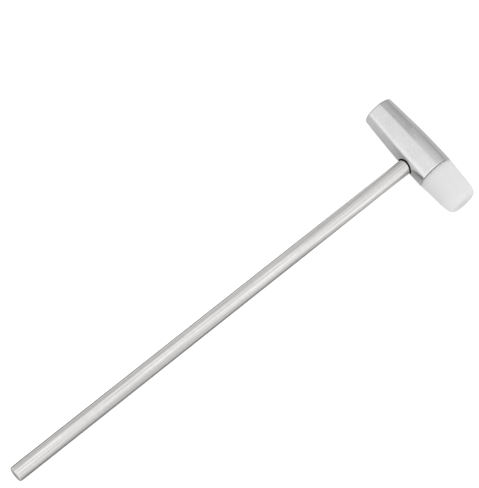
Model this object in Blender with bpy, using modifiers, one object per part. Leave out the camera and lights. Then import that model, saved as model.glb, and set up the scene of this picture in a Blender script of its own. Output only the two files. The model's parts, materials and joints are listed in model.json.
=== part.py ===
"""Reflex hammer: a turned steel head with a screw-on plastic striking tip, on a slim round steel handle.

The hammer is built square to its own axes and then laid down as it comes to rest on a flat surface:
handle along X with the head at +X, striking tip towards -Y, +Z up. Every piece is turned about its local Z.
"""

import math

import bmesh
import bpy

# Handle: a solid round bar. Distances run from the head's axis out along the handle.
HANDLE_REACH = 0.2345
HANDLE_END_RADIUS = 0.00378
HANDLE_WAIST_RADIUS = 0.00360
HANDLE_NECK_RADIUS = 0.00355
HANDLE_WAIST = 0.105
HANDLE_END_ROUNDING = 0.0009
HANDLE_SHOULDER = 0.0055
SPIGOT_RADIUS = 0.0025
SPIGOT_TIP = -0.0036
SPIGOT_CHAMFER = 0.0004

# Head barrel: heights run from the handle's axis along the head's axis, positive towards the striking tip.
POLL_HEIGHT = -0.0289
POLL_ROUNDING = 0.0008
KNEE_HEIGHT = -0.0107
SEAM_HEIGHT = 0.01085
SEAM_CHAMFER = 0.00015
CROWN_HEIGHT = 0.008
CROWN_RADIUS = 0.009
CROWN_ARC = 0.46
REAR_TAPER = 0.065
STUD_HOLE_FLOOR = 0.0042

# Striking tip: a taper, a long side arc and a rounded corner in front of a flat end.
TIP_BASE_RADIUS = 0.00892
TIP_TAPER = 0.058
TIP_END = 0.0302
TIP_SIDE_ARC = 0.014
TIP_SIDE_TURN = math.radians(20.5)
TIP_CORNER = 0.00246
TIP_BASE_ROUNDING = 0.00025

# Threaded fastening of the tip: an M6 stud locked in the barrel and a bush moulded into the tip.
STUD_RADIUS = 0.003
STUD_CHAMFER = 0.0005
STUD_TOP = 0.0198
HEX_ACROSS_FLATS = 0.003
HEX_DEPTH = 0.003
INSERT_RADIUS = 0.0044
INSERT_TOP = 0.0204
INSERT_CHAMFER = 0.0003

# Clearances between neighbouring solids.
GAP = 0.0003
THREAD_GAP = 0.00015
SOCKET_GAP = 0.0005

# The crowned front part is turned in straight stretches, and the hammer lies on the one next to the knee,
# below the head's centre of mass.
CROWN_STRETCHES = 2
REST_HEIGHT = KNEE_HEIGHT + (SEAM_HEIGHT - KNEE_HEIGHT) / (2 * CROWN_STRETCHES)

HEAD_STEPS = 72
HANDLE_STEPS = 48
INNER_STEPS = 32
MERGE_DISTANCE = 0.00001
SMOOTH_ANGLE = math.radians(30)

STEEL = (0.62, 0.62, 0.61, 1.0)
BRIGHT_STEEL = (0.72, 0.72, 0.73, 1.0)
BRASS = (0.72, 0.56, 0.30, 1.0)
WHITE_PLASTIC = (0.84, 0.84, 0.85, 1.0)


def clear_scene():
    for obj in list(bpy.data.objects):
        bpy.data.objects.remove(obj, do_unlink=True)


def new_collection(name, hidden=False):
    collection = bpy.data.collections.new(name)
    collection.hide_render = hidden
    bpy.context.scene.collection.children.link(collection)
    return collection


def principled(name, colour, roughness, metallic):
    material = bpy.data.materials.new(name)
    material.use_nodes = True
    shader = material.node_tree.nodes["Principled BSDF"]
    shader.inputs["Base Color"].default_value = colour
    shader.inputs["Roughness"].default_value = roughness
    shader.inputs["Metallic"].default_value = metallic
    material.diffuse_color = colour
    return material


def arc(centre, radius, start, end, steps):
    """Points (radius, height) on an arc, from the start angle to the end angle, measured from outwards to up."""
    points = []
    for i in range(steps + 1):
        angle = start + (end - start) * i / steps
        points.append((centre[0] + radius * math.cos(angle), centre[1] + radius * math.sin(angle)))
    return points


def turned(name, outline, steps, collection, material=None, closed=False):
    """A solid turned about local Z from an outline that runs down its outer side."""
    mesh = bpy.data.meshes.new(name)
    shape = bmesh.new()
    points = [shape.verts.new((radius, 0.0, height)) for radius, height in outline]
    for first, second in zip(points[:-1], points[1:]):
        shape.edges.new((first, second))
    if closed:
        shape.edges.new((points[-1], points[0]))
    shape.to_mesh(mesh)
    shape.free()
    if material:
        mesh.materials.append(material)
    obj = bpy.data.objects.new(name, mesh)
    collection.objects.link(obj)
    screw = obj.modifiers.new("turn", "SCREW")
    screw.steps = steps
    screw.render_steps = steps
    screw.use_merge_vertices = True
    screw.merge_threshold = MERGE_DISTANCE
    screw.use_smooth_shade = True
    return obj


def cut(obj, cutter):
    boolean = obj.modifiers.new("cut_" + cutter.name, "BOOLEAN")
    boolean.operation = "DIFFERENCE"
    boolean.object = cutter


def hide_cutter(obj):
    obj.hide_render = True
    obj.display_type = "WIRE"


def place(obj, rotation, parent):
    obj.rotation_euler = rotation
    obj.parent = parent


def crown_radius(height):
    """Radius of the barrel's gently crowned front part."""
    return CROWN_RADIUS - CROWN_ARC * (1.0 - math.cos(math.asin((height - CROWN_HEIGHT) / CROWN_ARC)))


def barrel_outline():
    hole_radius = STUD_RADIUS + THREAD_GAP
    points = [(0.0, STUD_HOLE_FLOOR), (hole_radius, STUD_HOLE_FLOOR)]
    points += [(hole_radius, SEAM_HEIGHT - STUD_CHAMFER), (hole_radius + STUD_CHAMFER, SEAM_HEIGHT)]
    seam_radius = crown_radius(SEAM_HEIGHT)
    points += [(seam_radius - SEAM_CHAMFER, SEAM_HEIGHT), (seam_radius, SEAM_HEIGHT - SEAM_CHAMFER)]
    for i in range(1, CROWN_STRETCHES + 1):
        height = SEAM_HEIGHT + (KNEE_HEIGHT - SEAM_HEIGHT) * i / CROWN_STRETCHES
        points.append((crown_radius(height), height))
    rear_end = POLL_HEIGHT + POLL_ROUNDING
    rear_radius = crown_radius(KNEE_HEIGHT) - REAR_TAPER * (KNEE_HEIGHT - rear_end)
    points += arc((rear_radius - POLL_ROUNDING, rear_end), POLL_ROUNDING, 0.0, -math.pi / 2, 4)
    points.append((0.0, POLL_HEIGHT))
    return points


def socket_outline():
    """The stepped hole that takes the handle: a plain seat for the bar, then the hole for its threaded spigot."""
    seat_radius = HANDLE_NECK_RADIUS + SOCKET_GAP
    hole_radius = SPIGOT_RADIUS + THREAD_GAP
    seat_floor = HANDLE_SHOULDER - GAP
    hole_floor = SPIGOT_TIP - GAP
    mouth = 1.5 * CROWN_RADIUS
    points = [(0.0, mouth), (seat_radius, mouth), (seat_radius, seat_floor)]
    points += [(hole_radius, seat_floor), (hole_radius, hole_floor), (0.0, hole_floor)]
    return points


def handle_outline():
    rounding = HANDLE_END_ROUNDING
    end_centre = (HANDLE_END_RADIUS - rounding, HANDLE_REACH - rounding)
    points = [(0.0, HANDLE_REACH)]
    points += arc(end_centre, rounding, math.pi / 2, 0.0, 4)
    points += [(HANDLE_WAIST_RADIUS, HANDLE_WAIST), (HANDLE_NECK_RADIUS, 2 * CROWN_RADIUS)]
    points += [(HANDLE_NECK_RADIUS, HANDLE_SHOULDER), (SPIGOT_RADIUS, HANDLE_SHOULDER)]
    points += [(SPIGOT_RADIUS, SPIGOT_TIP + SPIGOT_CHAMFER), (SPIGOT_RADIUS - SPIGOT_CHAMFER, SPIGOT_TIP)]
    points.append((0.0, SPIGOT_TIP))
    return points


def tip_outline():
    base = SEAM_HEIGHT + GAP
    side_start = math.atan(TIP_TAPER)
    side_rise = TIP_SIDE_ARC * (math.sin(TIP_SIDE_TURN) - math.sin(side_start))
    corner_rise = TIP_CORNER * (1.0 - math.sin(TIP_SIDE_TURN))
    side_height = TIP_END - corner_rise - side_rise
    side_radius = TIP_BASE_RADIUS - TIP_TAPER * (side_height - base)
    side_centre = (
        side_radius - TIP_SIDE_ARC * math.cos(side_start),
        side_height - TIP_SIDE_ARC * math.sin(side_start),
    )
    corner_centre = (
        side_centre[0] + (TIP_SIDE_ARC - TIP_CORNER) * math.cos(TIP_SIDE_TURN),
        side_centre[1] + (TIP_SIDE_ARC - TIP_CORNER) * math.sin(TIP_SIDE_TURN),
    )
    points = [(0.0, TIP_END)]
    points += arc(corner_centre, TIP_CORNER, math.pi / 2, TIP_SIDE_TURN, 5)
    points += arc(side_centre, TIP_SIDE_ARC, TIP_SIDE_TURN, side_start, 4)[1:]
    rounding = TIP_BASE_ROUNDING
    points += arc((TIP_BASE_RADIUS - rounding, base + rounding), rounding, 0.0, -math.pi / 2, 2)
    bore_radius = INSERT_RADIUS + THREAD_GAP
    points += [(bore_radius, base), (bore_radius, INSERT_TOP + GAP), (0.0, INSERT_TOP + GAP)]
    return points


def stud_outline():
    foot = STUD_HOLE_FLOOR + GAP
    inner = STUD_RADIUS - STUD_CHAMFER
    points = [(0.0, STUD_TOP), (inner, STUD_TOP), (STUD_RADIUS, STUD_TOP - STUD_CHAMFER)]
    points += [(STUD_RADIUS, foot + STUD_CHAMFER), (inner, foot), (0.0, foot)]
    return points


def insert_outline():
    """A closed ring section: down the outer side, in, and back up the threaded bore."""
    bore = STUD_RADIUS + THREAD_GAP
    foot = SEAM_HEIGHT + 2 * GAP
    chamfer = INSERT_CHAMFER
    points = [(INSERT_RADIUS - chamfer, INSERT_TOP), (INSERT_RADIUS, INSERT_TOP - chamfer)]
    points += [(INSERT_RADIUS, foot + chamfer), (INSERT_RADIUS - chamfer, foot)]
    points += [(bore + chamfer, foot), (bore, foot + chamfer)]
    points += [(bore, INSERT_TOP - chamfer), (bore + chamfer, INSERT_TOP)]
    return points


def hex_cutter(collection):
    radius = HEX_ACROSS_FLATS / math.sqrt(3.0)
    bpy.ops.mesh.primitive_cylinder_add(
        vertices=6, radius=radius, depth=2 * HEX_DEPTH, location=(0.0, 0.0, STUD_TOP)
    )
    cutter = bpy.context.object
    cutter.name = "hex_key_cutter"
    for owner in list(cutter.users_collection):
        owner.objects.unlink(cutter)
    collection.objects.link(cutter)
    return cutter


def resting_tilt():
    """Rotation of the square hammer when its barrel and the end of its handle both touch the ground."""
    roll = math.asin((CROWN_HEIGHT - REST_HEIGHT) / CROWN_ARC)
    head_height = crown_radius(REST_HEIGHT) * math.cos(roll) - REST_HEIGHT * math.sin(roll)
    pitch = math.asin((head_height - HANDLE_END_RADIUS) / HANDLE_REACH)
    return (-roll, -pitch, 0.0)


def set_down(root, pieces):
    """Moves the root so that the pieces stand on z = 0 with their bounding box centred over the origin."""
    bpy.context.view_layer.update()
    graph = bpy.context.evaluated_depsgraph_get()
    corners = []
    for obj in pieces:
        evaluated = obj.evaluated_get(graph)
        mesh = evaluated.to_mesh()
        corners += [evaluated.matrix_world @ vertex.co for vertex in mesh.vertices]
        evaluated.to_mesh_clear()
    low = [min(corner[axis] for corner in corners) for axis in range(3)]
    high = [max(corner[axis] for corner in corners) for axis in range(3)]
    root.location.x -= (low[0] + high[0]) / 2
    root.location.y -= (low[1] + high[1]) / 2
    root.location.z -= low[2]


def main():
    clear_scene()
    parts = new_collection("reflex_hammer")
    cutters = new_collection("cutters", hidden=True)

    handle_steel = principled("handle_steel", STEEL, 0.35, 1.0)
    head_steel = principled("head_steel", BRIGHT_STEEL, 0.18, 1.0)
    stud_steel = principled("stud_steel", STEEL, 0.4, 1.0)
    insert_brass = principled("insert_brass", BRASS, 0.35, 1.0)
    tip_plastic = principled("tip_plastic", WHITE_PLASTIC, 0.35, 0.0)

    rest_pose = bpy.data.objects.new("rest_pose", None)
    parts.objects.link(rest_pose)
    along_head = (math.pi / 2, 0.0, 0.0)
    along_handle = (0.0, -math.pi / 2, 0.0)

    barrel = turned("head_barrel", barrel_outline(), HEAD_STEPS, parts, head_steel)
    handle = turned("handle", handle_outline(), HANDLE_STEPS, parts, handle_steel)
    stud = turned("tip_stud", stud_outline(), INNER_STEPS, parts, stud_steel)
    insert = turned("tip_insert", insert_outline(), INNER_STEPS, parts, insert_brass, closed=True)
    tip = turned("striking_tip", tip_outline(), HEAD_STEPS, parts, tip_plastic)
    socket = turned("socket_cutter", socket_outline(), HANDLE_STEPS, cutters)
    hex_key = hex_cutter(cutters)
    for obj in (barrel, stud, insert, tip, hex_key):
        place(obj, along_head, rest_pose)
    for obj in (handle, socket):
        place(obj, along_handle, rest_pose)
    hex_key.location = (0.0, -STUD_TOP, 0.0)
    cut(barrel, socket)
    cut(stud, hex_key)
    for obj in (socket, hex_key):
        hide_cutter(obj)

    rest_pose.rotation_euler = resting_tilt()
    set_down(rest_pose, (barrel, handle, tip))


main()
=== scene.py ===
"""Looks of the reflex hammer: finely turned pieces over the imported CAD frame, their materials, the
studio and the camera.

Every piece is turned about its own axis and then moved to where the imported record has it. Two turning
frames are used: the head's (Z towards the striking tip, X away from the handle, Y up) and the handle's
(Z out along the handle, X up).
"""

import json
import math

import bmesh
import bpy
from mathutils import Matrix, Vector


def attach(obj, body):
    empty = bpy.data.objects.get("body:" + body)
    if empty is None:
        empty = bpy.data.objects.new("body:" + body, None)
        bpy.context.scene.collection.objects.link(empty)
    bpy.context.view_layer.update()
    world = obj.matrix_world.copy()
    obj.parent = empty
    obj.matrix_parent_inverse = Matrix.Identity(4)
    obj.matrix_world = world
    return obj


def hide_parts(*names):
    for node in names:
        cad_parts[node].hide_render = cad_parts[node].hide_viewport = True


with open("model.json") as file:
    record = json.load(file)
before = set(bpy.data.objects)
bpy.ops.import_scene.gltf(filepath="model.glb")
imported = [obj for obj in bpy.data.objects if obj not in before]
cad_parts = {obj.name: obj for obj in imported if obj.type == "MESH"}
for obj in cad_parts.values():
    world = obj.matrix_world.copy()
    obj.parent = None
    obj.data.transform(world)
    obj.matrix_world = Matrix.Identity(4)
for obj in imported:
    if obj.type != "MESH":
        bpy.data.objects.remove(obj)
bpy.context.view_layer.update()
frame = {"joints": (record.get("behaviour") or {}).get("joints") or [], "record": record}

# Handle, distances from the head's axis out along the handle. All lengths are in metres.
HANDLE_REACH = 0.2345
HANDLE_END_RADIUS = 0.00378
HANDLE_WAIST_RADIUS = 0.00367
HANDLE_NECK_RADIUS = 0.00364
HANDLE_WAIST = 0.105
HANDLE_NECK = 0.018
HANDLE_END_ROUNDING = 0.0009
HANDLE_WEAR_INSET = 0.0002
HANDLE_SHOULDER = 0.0055
SPIGOT_RADIUS = 0.0025
SPIGOT_TIP = -0.0036
SPIGOT_CHAMFER = 0.0004
SPIGOT_PITCH = 0.0008

# Head barrel, heights along the head's axis, positive towards the striking tip.
POLL_HEIGHT = -0.0289
POLL_ROUNDING = 0.0012
KNEE_HEIGHT = -0.0107
SEAM_HEIGHT = 0.01085
SEAM_ROUNDING = 0.00015
CROWN_HEIGHT = 0.008
CROWN_RADIUS = 0.009
CROWN_ARC = 0.46
REAR_TAPER = 0.058
STUD_HOLE_FLOOR = 0.0042
SOCKET_RADIUS = 0.00405
SOCKET_FLOOR = 0.0052
SOCKET_LIP = 0.00015
SOCKET_LIP_TURN = math.radians(80)
SPIGOT_HOLE_RADIUS = 0.00265
SPIGOT_HOLE_FLOOR = -0.0039

# Striking tip.
TIP_BASE = 0.01108
TIP_BASE_RADIUS = 0.00892
TIP_BASE_ROUNDING = 0.00025
TIP_TAPER = 0.058
TIP_END = 0.0302
TIP_SIDE_ARC = 0.014
TIP_SIDE_TURN = math.radians(20.5)
TIP_CORNER = 0.00246
TIP_BORE_RADIUS = 0.00455
TIP_BORE_END = 0.0207

# Stud and its bush, an M6 x 1 thread.
STUD_RADIUS = 0.003
STUD_FOOT = 0.0045
STUD_TOP = 0.0198
STUD_CHAMFER = 0.0005
STUD_PITCH = 0.001
HEX_APOTHEM = 0.0015
HEX_DEPTH = 0.003
HEX_LEAD = 0.00012
HEX_DRILL_SHARE = 0.86
HEX_DRILL_TIP = 0.0005
INSERT_RADIUS = 0.0044
INSERT_FOOT = 0.01145
INSERT_TOP = 0.0204
INSERT_CHAMFER = 0.0003
INSERT_BORE_RADIUS = 0.00315
BUSH_CLEARANCE = 0.00008
KNURL_DEPTH = 0.00012
KNURL_TEETH = 24

# Every thread, as shares of its pitch: the height of its ridges, and where a flank starts and ends, measured
# from the middle of the crest.
THREAD_DEPTH = 0.6134
THREAD_FLANK_START = 1 / 16
THREAD_FLANK_END = 3 / 8

# Mesh rows: how close they come to a corner, the most that they are apart, when two points are one, and the
# angle from which an edge stays sharp.
SUPPORT = 0.00006
LONGEST_STEP = 0.004
SAME_POINT = 1e-7
SHARP_ANGLE = math.radians(30.0)
WHOLE_TURN = 2.0 * math.pi

# How far wear, scuffs and the painted shade at the handle's joint reach: from a corner, below the striking
# face, out along the handle from the socket's mouth, and round the socket, on the handle's side of the
# head's axis.
WEAR_REACH = 0.0009
SEAM_WEAR_REACH = 0.0006
SCUFF_FADE = (0.0012, 0.0001)
NECK_SHADE_CORE = 0.0002
NECK_SHADE_REACH = 0.0006
SOCKET_SHADE_REACH = 0.0004
SOCKET_SHADE_SIDE = (-0.003, -0.004)

# The grain's UV units for each metre along a piece.
GRAIN_PER_METRE = 2.0

# Tones of the materials, from their darker to their lighter patches.
# The painted shade at the handle's joint, darker than any patch.
PAINTED_SHADE_TONE = 0.02
HEAD_TONES = (0.580, 0.620)
HEAD_MOTTLE_TONE = 0.30
HEAD_RUBBED_TONE = 0.86
HANDLE_TONES = (0.51, 0.64, 0.77)
HANDLE_GROUND_TONE = 0.34
HANDLE_WORN_TONE = 0.70
STUD_TONES = (0.25, 0.48, 0.62)
BRASS_COLOURS = ((0.46, 0.31, 0.13, 1.0), (0.76, 0.57, 0.27, 1.0))
TIP_TONES = (0.700, 0.730)
TIP_STRUCK_TONE = 0.60

# The camera, placed about a point on the hammer's own middle plane.
AIM_ALONG_HANDLE = 0.090773
AIM_ALONG_TIP = -0.019168
CAMERA_DISTANCE = 1.2686596
CAMERA_ELEVATION = math.radians(69.5289)
CAMERA_AZIMUTH = math.radians(48.3946)
CAMERA_ROLL = math.radians(8.4074)
CAMERA_LENS_MM = 210.05
CAMERA_CLIP = (0.05, 30.0)
SENSOR_MM = 36.0

# The light tent. Places on it are direction cosines.
SKY_STRENGTH = 1.60
EVEN_LIGHT = 1.08
WALL_EDGE = (0.283, 0.308)
STRIP_LIFT = 0.21
STRIP_SLANT = 4.75
STRIP_MIDDLE = 0.62
STRIP_HALF_WIDTH = 0.38
STRIP_END = (0.05, -0.2)
STRIP_BOOST = (0.20, 0.31)
STRIP_BOOST_SHARE = 2.4

# The floor, and the shares of grey that the steel mirrors of it. Across is the distance from the head's
# centre, positive beyond the head. Along is positive towards the poll. A pair is the two ends of a fade.
FLOOR_HALF_SIZE = 4.0
FLOOR_CELLS = 24
FLOOR_WHITE = 0.86
FLOOR_LIFT = 0.6
HANDLE_SHADE = 0.52
HEAD_SHADE = 0.05
HANDLE_SHADE_ACROSS = (-0.07, -0.015)
HANDLE_SHADE_ALONG = 0.002
HANDLE_SHADE_WIDTH = (0.007, 0.040)
CONTACT_SHADE = 0.19
CONTACT_SHADE_ACROSS = (-0.012, -0.035)
CONTACT_SHADE_WIDTH = (0.005, 0.015)
HEAD_SIDE_EDGE = (0.012, 0.0)
HANDLE_END_EDGE = (-0.245, -0.228)
BEYOND_SHADE = 0.20
BEYOND_ACROSS = (0.0, 0.05)
POLL_SHADE = 0.35
POLL_SHADE_INNER = (0.028, 0.034)
POLL_SHADE_OUTER = (0.052, 0.036)
TIP_SHADE = 0.3
TIP_SHADE_INNER = (-0.029, -0.036)
ENDS_HANDLE_EDGE = (-0.014, -0.004)
ENDS_FAR_EDGE = (0.012, 0.005)


# ---------------------------------------------------------------- turning frames


def frames_of_record():
    """The head's and the handle's turning frames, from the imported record."""
    turn = next(joint for joint in frame["joints"] if joint["name"] == "tip_turn")
    end = next(mount for mount in frame["record"]["mounts"] if mount["name"] == "handle_end")
    centre = Vector(turn["pos_m"])
    tip_way = Vector(turn["axis"]).normalized()
    handle_way = Vector(end["axis"])
    handle_way = (handle_way - handle_way.dot(tip_way) * tip_way).normalized()
    up = handle_way.cross(tip_way)
    head = Matrix((-handle_way, up, tip_way)).transposed().to_4x4()
    handle = Matrix((up, -tip_way, handle_way)).transposed().to_4x4()
    head.translation = centre
    handle.translation = centre
    return head, handle


HEAD_FRAME, HANDLE_FRAME = frames_of_record()


# ---------------------------------------------------------------- outlines


def arc(centre, radius, start, end, steps):
    """Points (radius, height) on an arc between two angles, measured from outwards to up."""
    points = []
    for i in range(steps + 1):
        angle = start + (end - start) * i / steps
        points.append((centre[0] + radius * math.cos(angle), centre[1] + radius * math.sin(angle)))
    return points


def straight(first, last):
    """Points inside a straight stretch: one close to each end, which keeps the shading crisp there, and
    more between."""
    length = math.dist(first, last)
    between = length - 2 * SUPPORT
    shares = []
    if length > 4 * SUPPORT:
        middle = max(1, math.ceil(between / LONGEST_STEP))
        for i in range(middle + 1):
            shares.append((SUPPORT + between * i / middle) / length)
    return [tuple(a + (b - a) * share for a, b in zip(first, last)) for share in shares]


def joined(*stretches):
    """One outline from stretches of points, with a straight line wherever two stretches don't meet."""
    outline = list(stretches[0])
    for stretch in stretches[1:]:
        if math.dist(outline[-1], stretch[0]) > SAME_POINT:
            outline += straight(outline[-1], stretch[0])
            outline.append(stretch[0])
        outline += stretch[1:]
    return outline


def crown_radius(height):
    """Radius of the barrel's gently crowned front part."""
    turn = math.asin((height - CROWN_HEIGHT) / CROWN_ARC)
    return CROWN_RADIUS - CROWN_ARC * (1.0 - math.cos(turn))


def barrel_radius(height):
    """Radius of the barrel's outer surface, without its end roundings."""
    if height >= KNEE_HEIGHT:
        return crown_radius(height)
    return crown_radius(KNEE_HEIGHT) - REAR_TAPER * (KNEE_HEIGHT - height)


def barrel_outline():
    """From the floor of the stud's hole, over the seam face and down the outer side to the poll's middle."""
    hole = INSERT_BORE_RADIUS
    top = SEAM_HEIGHT - SEAM_ROUNDING
    lip_centre = (crown_radius(SEAM_HEIGHT) - SEAM_ROUNDING, top)
    lip = arc(lip_centre, SEAM_ROUNDING, math.pi / 2, 0.0, steps=5)
    crown_steps = 22
    heights = [top + (KNEE_HEIGHT - top) * i / crown_steps for i in range(crown_steps + 1)]
    crown = [(crown_radius(height), height) for height in heights]
    rear_end = POLL_HEIGHT + POLL_ROUNDING
    corner_centre = (barrel_radius(rear_end) - POLL_ROUNDING, rear_end)
    corner = arc(corner_centre, POLL_ROUNDING, math.atan(REAR_TAPER), -math.pi / 2, steps=12)
    return joined(
        [(0.0, STUD_HOLE_FLOOR)],
        [(hole, STUD_HOLE_FLOOR)],
        [(hole, SEAM_HEIGHT - STUD_CHAMFER)],
        [(hole + STUD_CHAMFER, SEAM_HEIGHT)],
        lip,
        crown,
        corner,
        [(0.0, POLL_HEIGHT)],
    )


def handle_outline():
    """From the middle of the free end, along the bar to its shoulder and down the threaded spigot."""
    rounding = HANDLE_END_ROUNDING
    end_centre = (HANDLE_END_RADIUS - rounding, HANDLE_REACH - rounding)
    end_corner = arc(end_centre, rounding, math.pi / 2, 0.0, steps=12)
    bar = joined(
        [(0.0, HANDLE_REACH)],
        end_corner,
        [(HANDLE_WAIST_RADIUS, HANDLE_WAIST), (HANDLE_NECK_RADIUS, HANDLE_NECK)],
        [(HANDLE_NECK_RADIUS, HANDLE_SHOULDER)],
        [(SPIGOT_RADIUS, HANDLE_SHOULDER)],
    )
    thread_top = HANDLE_SHOULDER - SUPPORT
    thread = threaded_rows(thread_top, SPIGOT_TIP, SPIGOT_RADIUS, SPIGOT_PITCH, SPIGOT_CHAMFER, 10)
    return bar + thread + [(0.0, SPIGOT_TIP)]


def tip_outline():
    """From the middle of the striking face, down the side, across the base and up the bore."""
    side_start = math.atan(TIP_TAPER)
    side_rise = TIP_SIDE_ARC * (math.sin(TIP_SIDE_TURN) - math.sin(side_start))
    corner_rise = TIP_CORNER * (1.0 - math.sin(TIP_SIDE_TURN))
    side_height = TIP_END - corner_rise - side_rise
    side_radius = TIP_BASE_RADIUS - TIP_TAPER * (side_height - TIP_BASE)
    side_centre = (
        side_radius - TIP_SIDE_ARC * math.cos(side_start),
        side_height - TIP_SIDE_ARC * math.sin(side_start),
    )
    corner_centre = (
        side_centre[0] + (TIP_SIDE_ARC - TIP_CORNER) * math.cos(TIP_SIDE_TURN),
        side_centre[1] + (TIP_SIDE_ARC - TIP_CORNER) * math.sin(TIP_SIDE_TURN),
    )
    rounding = TIP_BASE_ROUNDING
    foot_centre = (TIP_BASE_RADIUS - rounding, TIP_BASE + rounding)
    return joined(
        [(0.0, TIP_END)],
        arc(corner_centre, TIP_CORNER, math.pi / 2, TIP_SIDE_TURN, steps=16)
        + arc(side_centre, TIP_SIDE_ARC, TIP_SIDE_TURN, side_start, steps=12)[1:],
        arc(foot_centre, rounding, side_start, -math.pi / 2, steps=6),
        [(TIP_BORE_RADIUS, TIP_BASE)],
        [(TIP_BORE_RADIUS, TIP_BORE_END)],
        [(0.0, TIP_BORE_END)],
    )


def thread_radius(angle, height, crest, pitch):
    """Radius of a right-hand 60-degree thread at an angle about its axis and a height along it."""
    phase = (height / pitch - angle / WHOLE_TURN) % 1.0
    from_crest = abs(phase - 0.5)
    down_flank = (from_crest - THREAD_FLANK_START) / (THREAD_FLANK_END - THREAD_FLANK_START)
    depth = min(1.0, max(0.0, down_flank))
    return crest - depth * THREAD_DEPTH * pitch


def threaded_rows(top, foot, crest, pitch, chamfer, rows_per_pitch):
    """Rows of a threaded stretch from its top to its foot, with both ends chamfered."""
    steps = math.ceil((top - foot) / pitch * rows_per_pitch)

    def row_at(height):
        room = crest - chamfer + min(top - height, height - foot)
        return lambda angle: (min(room, thread_radius(angle, height, crest, pitch)), height)

    return [row_at(top + (foot - top) * i / steps) for i in range(steps + 1)]


def hexagon(height, apothem):
    """One row on the outline of a hexagon."""
    third = math.pi / 3

    def point(angle):
        return apothem / math.cos((angle + third / 2) % third - third / 2), height

    return point


def stud_rows():
    """From the drilled middle of the hexagon's floor, up its flats, over the top, down the thread and across
    the foot."""
    floor = STUD_TOP - HEX_DEPTH
    rows = [(0.0, floor - HEX_DRILL_TIP), (HEX_APOTHEM * HEX_DRILL_SHARE, floor)]
    rows += [hexagon(floor, HEX_APOTHEM), hexagon(STUD_TOP - HEX_LEAD, HEX_APOTHEM)]
    rows.append(hexagon(STUD_TOP, HEX_APOTHEM + HEX_LEAD))
    rim = STUD_RADIUS - STUD_CHAMFER
    rows.append((rim - SUPPORT, STUD_TOP))
    rows += threaded_rows(STUD_TOP, STUD_FOOT, STUD_RADIUS, STUD_PITCH, STUD_CHAMFER, 14)
    rows.append((0.0, STUD_FOOT))
    return rows


def insert_rows():
    """A closed ring: down the knurled outer side, across the foot and back up the threaded bore."""

    def knurled(height):
        def point(angle):
            turn = KNURL_TEETH * angle
            rise = KNURL_TEETH * height / INSERT_RADIUS
            diamond = max(math.cos(turn + rise), math.cos(turn - rise))
            from_end = min(INSERT_TOP - height, height - INSERT_FOOT)
            room = from_end + INSERT_RADIUS - INSERT_CHAMFER
            return min(room, INSERT_RADIUS - KNURL_DEPTH * 0.5 * (1.0 - diamond)), height

        return point

    def bored(height):
        def point(angle):
            from_end = min(INSERT_TOP - height, height - INSERT_FOOT)
            room = INSERT_BORE_RADIUS + INSERT_CHAMFER - from_end
            thread = thread_radius(angle, height, STUD_RADIUS, STUD_PITCH) + BUSH_CLEARANCE
            return max(room, thread), height

        return point

    outer_steps = 60
    bore_steps = 110
    height = INSERT_TOP - INSERT_FOOT
    outer = [knurled(INSERT_TOP - height * i / outer_steps) for i in range(outer_steps + 1)]
    bore = [bored(INSERT_FOOT + height * i / bore_steps) for i in range(bore_steps + 1)]
    return outer + bore


# ---------------------------------------------------------------- meshes


def lathe(name, rows, columns, ring=False):
    """A piece turned about local Z. A row is (radius, height) or a function that gives it for an angle."""
    shape = bmesh.new()
    rings = []
    for row in rows:
        if not callable(row) and row[0] == 0.0:
            rings.append([shape.verts.new((0.0, 0.0, row[1]))])
            continue
        points = []
        for i in range(columns):
            angle = WHOLE_TURN * i / columns
            radius, height = row(angle) if callable(row) else row
            points.append(shape.verts.new((radius * math.cos(angle), radius * math.sin(angle), height)))
        rings.append(points)
    pairs = list(zip(rings, rings[1:]))
    if ring:
        pairs.append((rings[-1], rings[0]))
    for upper, lower in pairs:
        for i in range(columns):
            # A row on the axis has one point, so its faces come out as triangles.
            j = (i + 1) % columns
            left = (upper[i % len(upper)], lower[i % len(lower)])
            right = (lower[j % len(lower)], upper[j % len(upper)])
            shape.faces.new(dict.fromkeys(left + right))
    bmesh.ops.recalc_face_normals(shape, faces=shape.faces)
    mesh = bpy.data.meshes.new(name)
    shape.to_mesh(mesh)
    shape.free()
    obj = bpy.data.objects.new(name, mesh)
    bpy.context.scene.collection.objects.link(obj)
    return obj


def socket_cutter():
    """The handle's stepped hole, with a mouth that rounds over into the barrel's curved side."""

    def mouth(radius, sink):
        def point(angle):
            up = radius * math.cos(angle)
            across = radius * math.sin(angle)
            surface = math.sqrt(barrel_radius(-across) ** 2 - up * up)
            return radius, surface - sink

        return point

    rows = [(0.0, SPIGOT_HOLE_FLOOR), (SPIGOT_HOLE_RADIUS, SPIGOT_HOLE_FLOOR)]
    rows += [(SPIGOT_HOLE_RADIUS, SOCKET_FLOOR), (SOCKET_RADIUS, SOCKET_FLOOR)]
    steps = 6
    turn = SOCKET_LIP_TURN
    for i in range(steps + 1):
        angle = turn * i / steps
        wider = SOCKET_LIP * (1 - math.cos(angle))
        rows.append(mouth(SOCKET_RADIUS + wider, SOCKET_LIP * (1 - math.sin(angle))))

    # The rounding comes out just above the barrel's surface, and the cutter ends well outside it.
    over = SOCKET_LIP * (1 - math.cos(turn) + 0.5 * math.sin(turn))
    rows.append(mouth(SOCKET_RADIUS + over, -0.1 * SOCKET_LIP))
    outside = 1.5 * CROWN_RADIUS
    rows += [(SOCKET_RADIUS + 4 * SOCKET_LIP, outside), (0.0, outside)]
    return lathe("socket_cutter", rows, columns=128)


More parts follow.
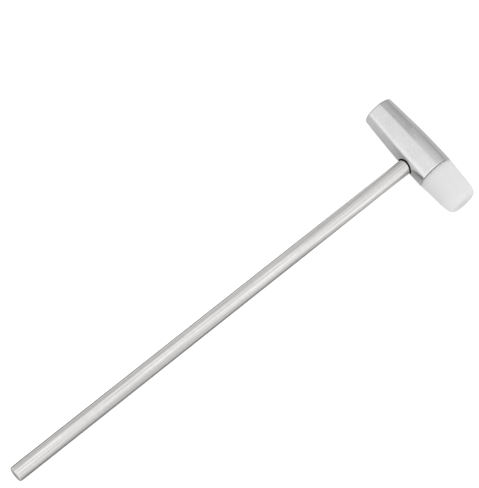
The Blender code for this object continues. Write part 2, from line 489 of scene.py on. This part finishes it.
def cut(obj, cutter, cutter_frame):
    """Takes the cutter out of a piece of the head, each placed by its turning frame. The mesh stays in the
    head's turning frame."""
    obj.matrix_world = HEAD_FRAME
    cutter.matrix_world = cutter_frame
    boolean = obj.modifiers.new("socket", "BOOLEAN")
    boolean.operation = "DIFFERENCE"
    boolean.solver = "EXACT"
    boolean.object = cutter
    bpy.context.view_layer.update()
    graph = bpy.context.evaluated_depsgraph_get()
    result = bpy.data.meshes.new_from_object(obj.evaluated_get(graph), depsgraph=graph)
    obj.modifiers.clear()
    obj.data = result
    obj.matrix_world = Matrix.Identity(4)
    bpy.data.objects.remove(cutter, do_unlink=True)


def edge_wear(point, corners, reach):
    """1 at a worn edge of the turned outline, falling to 0 within reach of it."""
    radius = math.hypot(point.x, point.y)
    nearest = min(math.dist((radius, point.z), corner) for corner in corners)
    return max(0.0, 1.0 - nearest / reach)


def finish_piece(obj, own_frame, body, node, material, corners, reach=WEAR_REACH):
    """Stores what the materials read, moves the piece to its place and gives it to its CAD body."""
    mesh = obj.data
    for name, kind in (("local", "FLOAT_VECTOR"), ("wear", "FLOAT")):
        mesh.attributes.new(name, kind, "POINT")
    place = mesh.attributes["local"].data
    wear = mesh.attributes["wear"].data
    for i, vertex in enumerate(mesh.vertices):
        place[i].vector = vertex.co
        wear[i].value = edge_wear(vertex.co, corners, reach)
    unwrap(mesh)
    mesh.materials.clear()
    mesh.materials.append(material)
    mesh.transform(own_frame)
    mesh.shade_smooth()
    mesh.set_sharp_from_angle(angle=SHARP_ANGLE)
    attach(obj, body)
    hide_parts(node)


def unwrap(mesh):
    """UVs round the axis and along it, which give the brushed materials their grain direction."""
    layer = mesh.uv_layers.new(name="grain")
    for face in mesh.polygons:
        middle = face.center
        base = math.atan2(middle.y, middle.x)
        for loop in face.loop_indices:
            point = mesh.vertices[mesh.loops[loop].vertex_index].co
            on_axis = math.hypot(point.x, point.y) <= SAME_POINT
            turn = base if on_axis else math.atan2(point.y, point.x)
            turn = base + (turn - base + math.pi) % WHOLE_TURN - math.pi
            layer.data[loop].uv = (0.5 + turn / WHOLE_TURN, 0.5 + GRAIN_PER_METRE * point.z)


# ---------------------------------------------------------------- node trees


class Tree:
    """A short way to add nodes to a node tree and to join them."""

    # A Mix node has sockets for every data type under the same names, so they are found by number.
    MIX_NUMBERS = (2, 3)
    MIX_COLOURS = (6, 7)
    MIX_COLOUR_RESULT = 2

    def __init__(self, owner):
        owner.use_nodes = True
        self.nodes = owner.node_tree.nodes
        self.links = owner.node_tree.links

    def add(self, kind, inputs=None, **settings):
        node = self.nodes.new(kind)
        for name, value in settings.items():
            setattr(node, name, value)
        for name, value in (inputs or {}).items():
            if isinstance(value, bpy.types.NodeSocket):
                self.links.new(value, node.inputs[name])
            else:
                node.inputs[name].default_value = value
        return node

    def math(self, operation, first, second=0.0, clamp=False):
        node = self.add("ShaderNodeMath", {0: first, 1: second}, operation=operation)
        node.use_clamp = clamp
        return node.outputs[0]

    def range(self, value, low, high, to_low=0.0, to_high=1.0, smooth=False):
        inputs = {"Value": value, "From Min": low, "From Max": high, "To Min": to_low, "To Max": to_high}
        node = self.add("ShaderNodeMapRange", inputs)
        node.interpolation_type = "SMOOTHSTEP" if smooth else "LINEAR"
        return node.outputs["Result"]

    def stretch(self, vector, factors):
        """A vector whose noise has the given number of waves in a metre along X, Y and Z."""
        return self.add("ShaderNodeVectorMath", {0: vector, 1: factors}, operation="MULTIPLY").outputs[0]

    def from_axis(self, **parts):
        """Distance from an axis, from the two components across it."""
        level = self.add("ShaderNodeCombineXYZ", parts).outputs[0]
        return self.add("ShaderNodeVectorMath", {0: level}, operation="LENGTH").outputs["Value"]

    def noise(self, vector, detail=2.0, roughness=0.5):
        node = self.add("ShaderNodeTexNoise", {"Vector": vector, "Scale": 1.0, "Detail": detail})
        node.inputs["Roughness"].default_value = roughness
        return node.outputs["Fac"]

    def ramp(self, value, stops):
        node = self.add("ShaderNodeValToRGB", {"Fac": value})
        elements = node.color_ramp.elements
        while len(elements) < len(stops):
            elements.new(1.0)
        for element, (position, colour) in zip(elements, stops):
            element.position = position
            element.color = colour if isinstance(colour, tuple) else (colour, colour, colour, 1.0)
        return node.outputs["Color"]

    def blend(self, share, first, second):
        """A share of the second colour over the first."""
        one, other = self.MIX_COLOURS
        inputs = {"Factor": share, one: first, other: second}
        return self.add("ShaderNodeMix", inputs, data_type="RGBA").outputs[self.MIX_COLOUR_RESULT]

    def choose(self, share, first, second):
        """The first number at share 0, and the second at share 1."""
        one, other = self.MIX_NUMBERS
        return self.add("ShaderNodeMix", {"Factor": share, one: first, other: second}).outputs[0]

    def product(self, *values):
        """All the values multiplied."""
        result = values[0]
        for value in values[1:]:
            result = self.math("MULTIPLY", result, value)
        return result

    def bump(self, height, strength, distance, under=None):
        node = self.add("ShaderNodeBump", {"Height": height, "Strength": strength, "Distance": distance})
        if under is not None:
            self.links.new(under, node.inputs["Normal"])
        return node.outputs["Normal"]


def grey(level, warmth=0.0):
    """A grey of the given level, tinted by a share of warmth."""
    return (level * (1 + warmth), level, level * (1 - warmth), 1.0)


def surface(name, **fixed):
    """A Principled material, its tree and its shader, with the values that are the same all over set on the
    shader, and the position in the turning frame."""
    material = bpy.data.materials.new(name)
    tree = Tree(material)
    shader = tree.nodes["Principled BSDF"]
    for socket, value in fixed.items():
        shader.inputs[socket.replace("_", " ")].default_value = value
    place = tree.add("ShaderNodeAttribute", attribute_name="local").outputs["Vector"]
    return material, tree, shader, place


def stored_wear(tree):
    return tree.add("ShaderNodeAttribute", attribute_name="wear").outputs["Fac"]


def connect(tree, shader, colour, roughness, normal):
    tree.links.new(colour, shader.inputs["Base Color"])
    tree.links.new(roughness, shader.inputs["Roughness"])
    tree.links.new(normal, shader.inputs["Normal"])


def grain_direction(tree, shader):
    tangent = tree.add("ShaderNodeTangent", direction_type="UV_MAP", uv_map="grain")
    tree.links.new(tangent.outputs["Tangent"], shader.inputs["Tangent"])


def head_steel():
    """Turned and polished steel: faint rings from the lathe, light smudges, a rubbed seam edge and painted
    shade in and round the handle socket."""
    material, tree, shader, place = surface("head_steel", Metallic=1.0, Anisotropic=0.35)
    shader.inputs["Anisotropic Rotation"].default_value = 0.25
    grain_direction(tree, shader)
    rings = tree.noise(tree.stretch(place, (90, 90, 9000)), detail=3)
    smudge = tree.noise(tree.stretch(place, (210, 210, 150)), detail=3, roughness=0.55)
    mottle = tree.noise(tree.stretch(place, (900, 900, 1300)), detail=3, roughness=0.6)
    scuff = tree.noise(tree.stretch(place, (1600, 1600, 420)), detail=4, roughness=0.6)
    dark, light = HEAD_TONES
    colour = tree.ramp(smudge, [(0.3, grey(dark)), (0.7, grey(light))])
    colour = tree.blend(tree.range(mottle, 0.35, 0.65, 0.0, 0.14), colour, grey(HEAD_MOTTLE_TONE))
    rubbed = tree.math("MULTIPLY", stored_wear(tree), tree.range(scuff, 0.35, 0.65), clamp=True)
    colour = tree.blend(tree.math("MULTIPLY", rubbed, 0.8), colour, grey(HEAD_RUBBED_TONE))
    rough = tree.range(smudge, 0.3, 0.7, 0.07, 0.11)
    rough = tree.math("ADD", rough, tree.range(rings, 0.35, 0.65, 0.0, 0.03))
    rough = tree.math("ADD", rough, tree.math("MULTIPLY", rubbed, 0.10))

    # Painted shade in the handle's socket and just round its mouth: the colour is darkened where the joint's
    # shadow falls.
    apart = tree.add("ShaderNodeSeparateXYZ", {"Vector": place})
    radius = tree.from_axis(Y=apart.outputs["Y"], Z=apart.outputs["Z"])
    grime_and_painted_shade = tree.range(radius, SOCKET_RADIUS, SOCKET_RADIUS + SOCKET_SHADE_REACH, 1.0, 0.0, smooth=True)
    handle_side = tree.range(apart.outputs["X"], *SOCKET_SHADE_SIDE)
    grime_and_painted_shade = tree.math("MULTIPLY", grime_and_painted_shade, handle_side, clamp=True)
    colour = tree.blend(grime_and_painted_shade, colour, grey(PAINTED_SHADE_TONE))
    rough = tree.math("ADD", rough, tree.math("MULTIPLY", grime_and_painted_shade, 0.5))

    normal = tree.bump(rings, 0.10, 0.00001)
    normal = tree.bump(scuff, 0.08, 0.00002, normal)
    normal = tree.bump(mottle, 0.10, 0.00002, normal)
    connect(tree, shader, colour, rough, normal)
    return material


def handle_steel():
    """Ground bar, brushed along its length: long fine streaks, faint cross marks, a slightly warm tone and
    painted shade at the neck."""
    material, tree, shader, place = surface("handle_steel", Metallic=1.0, Anisotropic=0.5)
    grain_direction(tree, shader)
    streak = tree.noise(tree.stretch(place, (1300, 1300, 10)), detail=3, roughness=0.65)
    hair = tree.noise(tree.stretch(place, (4200, 4200, 36)), detail=3, roughness=0.65)
    blotch = tree.noise(tree.stretch(place, (160, 160, 55)), detail=3)
    ground = tree.noise(tree.stretch(place, (450, 450, 1800)), detail=3)
    streaks = tree.math("ADD", tree.math("MULTIPLY", streak, 0.6), tree.math("MULTIPLY", hair, 0.4))
    dark, middle, light = HANDLE_TONES
    stops = [(0.37, grey(dark, 0.020)), (0.5, grey(middle, 0.016)), (0.63, grey(light, 0.012))]
    colour = tree.ramp(streaks, stops)
    colour = tree.blend(tree.range(ground, 0.35, 0.65, 0.0, 0.16), colour, grey(HANDLE_GROUND_TONE, 0.016))
    worn = tree.math("MULTIPLY", stored_wear(tree), 0.35)
    colour = tree.blend(worn, colour, grey(HANDLE_WORN_TONE, 0.010))
    rough = tree.range(streaks, 0.35, 0.65, 0.18, 0.11)
    rough = tree.math("ADD", rough, tree.range(blotch, 0.3, 0.7, -0.02, 0.03))

    # Painted shade where the bar goes into the barrel, along the curved mouth of the socket: a dark band
    # standing in for the shadow in the gap.
    apart = tree.add("ShaderNodeSeparateXYZ", {"Vector": place})
    squared = tree.math("MULTIPLY", apart.outputs["X"], apart.outputs["X"])
    mouth = tree.math("SQRT", tree.math("SUBTRACT", CROWN_RADIUS * CROWN_RADIUS, squared))
    out = tree.math("SUBTRACT", apart.outputs["Z"], mouth)
    grime_and_painted_shade = tree.range(out, NECK_SHADE_CORE, NECK_SHADE_REACH, 1.0, 0.0, smooth=True)
    colour = tree.blend(grime_and_painted_shade, colour, grey(PAINTED_SHADE_TONE))
    rough = tree.math("ADD", rough, tree.math("MULTIPLY", grime_and_painted_shade, 0.5))

    normal = tree.bump(streak, 0.12, 0.00006)
    normal = tree.bump(hair, 0.2, 0.00001, normal)
    normal = tree.bump(ground, 0.05, 0.00001, normal)
    connect(tree, shader, colour, rough, normal)
    return material


def stud_steel():
    """Rolled thread: lighter at the crests and darker towards the roots, with patchy grime."""
    material, tree, shader, place = surface("stud_steel", Metallic=1.0)
    apart = tree.add("ShaderNodeSeparateXYZ", {"Vector": place})
    radius = tree.from_axis(X=apart.outputs["X"], Y=apart.outputs["Y"])
    root_radius = STUD_RADIUS - 0.6 * STUD_PITCH
    crest = tree.range(radius, root_radius, STUD_RADIUS, smooth=True)
    grime_and_painted_shade = tree.noise(tree.stretch(place, (900, 900, 900)), detail=4, roughness=0.6)
    fine = tree.noise(tree.stretch(place, (5000, 5000, 12000)), detail=2)
    shade = tree.math("ADD", crest, tree.range(grime_and_painted_shade, 0.3, 0.7, -0.25, 0.25), clamp=True)
    dark, middle, light = STUD_TONES
    stops = [(0.0, grey(dark, 0.02)), (0.6, grey(middle, 0.01)), (1.0, grey(light))]
    colour = tree.ramp(shade, stops)
    rough = tree.range(shade, 0.0, 1.0, 0.5, 0.22)
    normal = tree.bump(fine, 0.15, 0.00001)
    connect(tree, shader, colour, rough, normal)
    return material


def insert_brass():
    """Turned brass with faint tarnish."""
    material, tree, shader, place = surface("insert_brass", Metallic=1.0)
    tarnish = tree.noise(tree.stretch(place, (700, 700, 700)), detail=4, roughness=0.6)
    rings = tree.noise(tree.stretch(place, (150, 150, 9000)), detail=2)
    dull, bright = BRASS_COLOURS
    colour = tree.ramp(tarnish, [(0.3, dull), (0.7, bright)])
    rough = tree.range(tarnish, 0.3, 0.7, 0.42, 0.24)
    normal = tree.bump(rings, 0.2, 0.00001)
    connect(tree, shader, colour, rough, normal)
    return material


def tip_plastic():
    """Milky, slightly translucent plastic: soft sheen, faint flow marks and light scuffs on its face."""
    material, tree, shader, place = surface(
        "tip_plastic", Metallic=0.0, Subsurface_Weight=1.0, Subsurface_Scale=0.006, IOR=1.5
    )
    shader.inputs["Subsurface Radius"].default_value = (1.0, 1.0, 1.0)
    flow = tree.noise(tree.stretch(place, (170, 170, 90)), detail=3)
    grain = tree.noise(tree.stretch(place, (5200, 5200, 5200)), detail=3, roughness=0.6)
    scuff = tree.noise(tree.stretch(place, (1500, 1500, 700)), detail=4, roughness=0.65)
    height = tree.add("ShaderNodeSeparateXYZ", {"Vector": place}).outputs["Z"]
    deep, shallow = SCUFF_FADE
    face = tree.range(height, TIP_END - deep, TIP_END - shallow, smooth=True)
    struck = tree.math("MULTIPLY", face, tree.range(scuff, 0.52, 0.62), clamp=True)
    dark, light = TIP_TONES
    colour = tree.ramp(flow, [(0.3, grey(dark)), (0.7, grey(light))])
    colour = tree.blend(tree.math("MULTIPLY", struck, 0.25), colour, grey(TIP_STRUCK_TONE))
    rough = tree.range(flow, 0.3, 0.7, 0.36, 0.46)
    rough = tree.math("ADD", rough, tree.math("MULTIPLY", struck, 0.2))
    normal = tree.bump(grain, 0.06, 0.00003)
    normal = tree.bump(scuff, 0.05, 0.00004, normal)
    connect(tree, shader, colour, rough, normal)
    return material


# ---------------------------------------------------------------- the object


def build_barrel():
    barrel = lathe("head_barrel_turned", barrel_outline(), columns=256)
    cut(barrel, socket_cutter(), HANDLE_FRAME)
    corners = [(crown_radius(SEAM_HEIGHT), SEAM_HEIGHT)]
    steel = head_steel()
    finish_piece(barrel, HEAD_FRAME, "hammer", "head_barrel", steel, corners, SEAM_WEAR_REACH)


def build_handle():
    handle = lathe("handle_bar", handle_outline(), columns=144)
    corners = [(HANDLE_END_RADIUS - HANDLE_WEAR_INSET, HANDLE_REACH - HANDLE_WEAR_INSET)]
    finish_piece(handle, HANDLE_FRAME, "hammer", "handle", handle_steel(), corners)


def build_stud():
    stud = lathe("tip_stud_threaded", stud_rows(), columns=96)
    corners = [(STUD_RADIUS - STUD_CHAMFER, STUD_TOP)]
    finish_piece(stud, HEAD_FRAME, "hammer", "tip_stud", stud_steel(), corners)


def build_insert():
    insert = lathe("tip_insert_bush", insert_rows(), columns=192, ring=True)
    corners = [(INSERT_RADIUS, INSERT_FOOT), (INSERT_BORE_RADIUS, INSERT_FOOT)]
    brass = insert_brass()
    finish_piece(insert, HEAD_FRAME, "tip_carrier", "tip_insert", brass, corners)


def build_tip():
    tip = lathe("striking_tip_moulded", tip_outline(), columns=192)
    corners = [(TIP_BASE_RADIUS, TIP_BASE)]
    finish_piece(tip, HEAD_FRAME, "tip", "striking_tip", tip_plastic(), corners)


# ---------------------------------------------------------------- the studio


def shade_by_handle(tree, across, along):
    """Grey along the handle, on its own side of the head: wide and soft, and darker close to the bar."""
    aside = tree.math("ABSOLUTE", tree.math("SUBTRACT", along, HANDLE_SHADE_ALONG))
    wide = tree.range(aside, *HANDLE_SHADE_WIDTH, 1.0, 0.0, smooth=True)
    wide = tree.product(wide, tree.range(across, *HANDLE_SHADE_ACROSS, HANDLE_SHADE, HEAD_SHADE))
    close = tree.range(aside, *CONTACT_SHADE_WIDTH, CONTACT_SHADE, 0.0, smooth=True)
    close = tree.product(close, tree.range(across, *CONTACT_SHADE_ACROSS, smooth=True))
    return tree.product(
        tree.math("ADD", wide, close),
        tree.range(across, *HEAD_SIDE_EDGE, smooth=True),
        tree.range(across, *HANDLE_END_EDGE, smooth=True),
    )


def shade_off_ends(tree, across, along):
    """Grey past the poll, where it fades out again, and past the striking tip."""
    off_poll = tree.product(
        tree.range(along, *POLL_SHADE_INNER, 0.0, POLL_SHADE),
        tree.range(along, *POLL_SHADE_OUTER),
    )
    off_tip = tree.range(along, *TIP_SHADE_INNER, 0.0, TIP_SHADE)
    return tree.product(
        tree.math("ADD", off_poll, off_tip),
        tree.range(across, *ENDS_HANDLE_EDGE, smooth=True),
        tree.range(across, *ENDS_FAR_EDGE, smooth=True),
    )


def floor_paper():
    """White paper. The camera sees it plain and a little lifted, other rays greyer round the hammer."""
    material = bpy.data.materials.new("floor_paper")
    tree = Tree(material)
    shader = tree.nodes["Principled BSDF"]
    place = tree.add("ShaderNodeTexCoord").outputs["Object"]
    part = tree.add("ShaderNodeSeparateXYZ", {"Vector": place})
    head = HEAD_FRAME.translation
    across = tree.math("SUBTRACT", part.outputs["X"], head.x)
    along = tree.math("SUBTRACT", part.outputs["Y"], head.y)
    by_handle = shade_by_handle(tree, across, along)
    beyond = tree.range(across, *BEYOND_ACROSS, 0.0, BEYOND_SHADE, smooth=True)
    shade = tree.math("MAXIMUM", by_handle, beyond)
    shade = tree.math("MAXIMUM", shade, shade_off_ends(tree, across, along))
    seen = tree.add("ShaderNodeLightPath").outputs["Is Camera Ray"]
    hidden = tree.math("SUBTRACT", 1.0, seen)
    lightness = tree.math("SUBTRACT", 1.0, tree.product(shade, hidden))
    tree.links.new(tree.product(lightness, FLOOR_WHITE), shader.inputs["Base Color"])
    shader.inputs["Roughness"].default_value = 0.9
    shader.inputs["Specular IOR Level"].default_value = 0.0
    shader.inputs["Emission Color"].default_value = grey(1.0)
    tree.links.new(tree.product(seen, FLOOR_LIFT), shader.inputs["Emission Strength"])
    return material


def build_floor():
    shape = bmesh.new()
    bmesh.ops.create_grid(shape, x_segments=FLOOR_CELLS, y_segments=FLOOR_CELLS, size=FLOOR_HALF_SIZE)
    mesh = bpy.data.meshes.new("floor")
    shape.to_mesh(mesh)
    shape.free()
    mesh.materials.append(floor_paper())
    floor = bpy.data.objects.new("floor", mesh)
    bpy.context.scene.collection.objects.link(floor)


def share(tree, cosine, *stops):
    """A share of brightness along one direction cosine, from stops (cosine, share)."""
    places = [((stop + 1) / 2, level) for stop, level in stops]
    return tree.ramp(tree.range(cosine, -1.0, 1.0), places)


def tent_panels(tree, across, along):
    """The tent's panels: bright overhead and on the handle's side, darker beyond the head and the poll."""
    # From the handle's side (-X) to beyond the head (+X): a bright rim, the soft box and the far wall.
    side = share(
        tree, across,
        (-0.99, 0.97), (-0.95, 0.96), (-0.91, 0.91), (-0.86, 0.87), (-0.78, 0.86), (0.12, 0.84),
        (0.20, 0.79), (0.30, 0.80), (0.325, 0.715), (0.36, 0.69), (0.46, 0.675), (0.57, 0.65),
        (0.68, 0.625), (0.77, 0.585), (0.85, 0.545), (0.91, 0.515), (0.95, 0.475), (0.97, 0.40),
    )
    # From beyond the tip (-Y) to beyond the poll (+Y).
    cross = share(
        tree, along,
        (-1.0, 0.62), (-0.96, 0.71), (-0.90, 0.80), (-0.80, 0.85), (-0.50, 0.86),
        (-0.32, 0.85), (-0.12, 0.88), (0.09, 0.92), (0.22, 0.935), (0.34, 0.915),
        (0.48, 0.84), (0.65, 0.79), (0.79, 0.75), (0.89, 0.70), (0.97, 0.56),
    )
    return tree.product(side, cross, SKY_STRENGTH)


def far_wall(tree, across, along):
    """What the far wall takes away towards the poll, from a crisp edge."""
    wall = share(
        tree, across,
        (0.25, 0.0), (0.31, 0.11), (0.36, 0.24), (0.56, 0.22), (0.68, 0.19), (0.88, 0.18), (0.97, 0.21),
    )
    return tree.product(wall, tree.range(along, *WALL_EDGE, smooth=True))


def bright_strip(tree, across, along):
    """What a brighter strip adds: it runs slantwise over the handle, on the tip's side."""
    slant = tree.math("ADD", along, tree.product(across, STRIP_SLANT))
    near = tree.math("SUBTRACT", 1.0, tree.math("ABSOLUTE", tree.math("SUBTRACT", slant, STRIP_MIDDLE)))
    return tree.product(
        tree.range(near, 1.0 - STRIP_HALF_WIDTH, 1.0, 0.0, STRIP_LIFT, smooth=True),
        tree.range(along, *STRIP_END, smooth=True),
        tree.range(across, *STRIP_BOOST, 1.0, STRIP_BOOST_SHARE),
    )


def build_tent():
    """A soft light tent. The steel mirrors its panels, and what isn't mirrored is lit evenly."""
    world = bpy.data.worlds.new("studio")
    bpy.context.scene.world = world
    tree = Tree(world)
    way = tree.add("ShaderNodeTexCoord").outputs["Generated"]
    part = tree.add("ShaderNodeSeparateXYZ", {"Vector": way})
    across, along = part.outputs["X"], part.outputs["Y"]
    sky = tree.product(
        tent_panels(tree, across, along),
        tree.math("SUBTRACT", 1.0, far_wall(tree, across, along)),
        tree.math("ADD", bright_strip(tree, across, along), 1.0),
    )

    # The camera sees plain white past the floor's edge.
    path = tree.add("ShaderNodeLightPath")
    lit = tree.choose(path.outputs["Is Glossy Ray"], EVEN_LIGHT, sky)
    strength = tree.choose(path.outputs["Is Camera Ray"], lit, 1.0)
    background = tree.nodes["Background"]
    background.inputs["Color"].default_value = grey(1.0)
    tree.links.new(strength, background.inputs["Strength"])
    bpy.context.scene.view_settings.view_transform = "Standard"


def build_camera():
    handle_way = -HEAD_FRAME.col[0].to_3d()
    up = HEAD_FRAME.col[1].to_3d()
    tip_way = HEAD_FRAME.col[2].to_3d()
    aim = HEAD_FRAME.translation + handle_way * AIM_ALONG_HANDLE + tip_way * AIM_ALONG_TIP
    level = tip_way * math.cos(CAMERA_AZIMUTH) + handle_way * math.sin(CAMERA_AZIMUTH)
    back = level * math.cos(CAMERA_ELEVATION) + up * math.sin(CAMERA_ELEVATION)
    right = up.cross(back).normalized()
    right.rotate(Matrix.Rotation(CAMERA_ROLL, 3, back))
    camera_up = back.cross(right)
    data = bpy.data.cameras.new("camera")
    data.lens = CAMERA_LENS_MM
    data.sensor_width = SENSOR_MM
    data.sensor_fit = "AUTO"
    data.clip_start, data.clip_end = CAMERA_CLIP
    camera = bpy.data.objects.new("camera", data)
    bpy.context.scene.collection.objects.link(camera)
    turned = Matrix((right, camera_up, back)).transposed().to_4x4()
    turned.translation = aim + back * CAMERA_DISTANCE
    camera.matrix_world = turned
    bpy.context.scene.camera = camera


build_barrel()
build_handle()
build_stud()
build_insert()
build_tip()
build_floor()
build_tent()
build_camera()
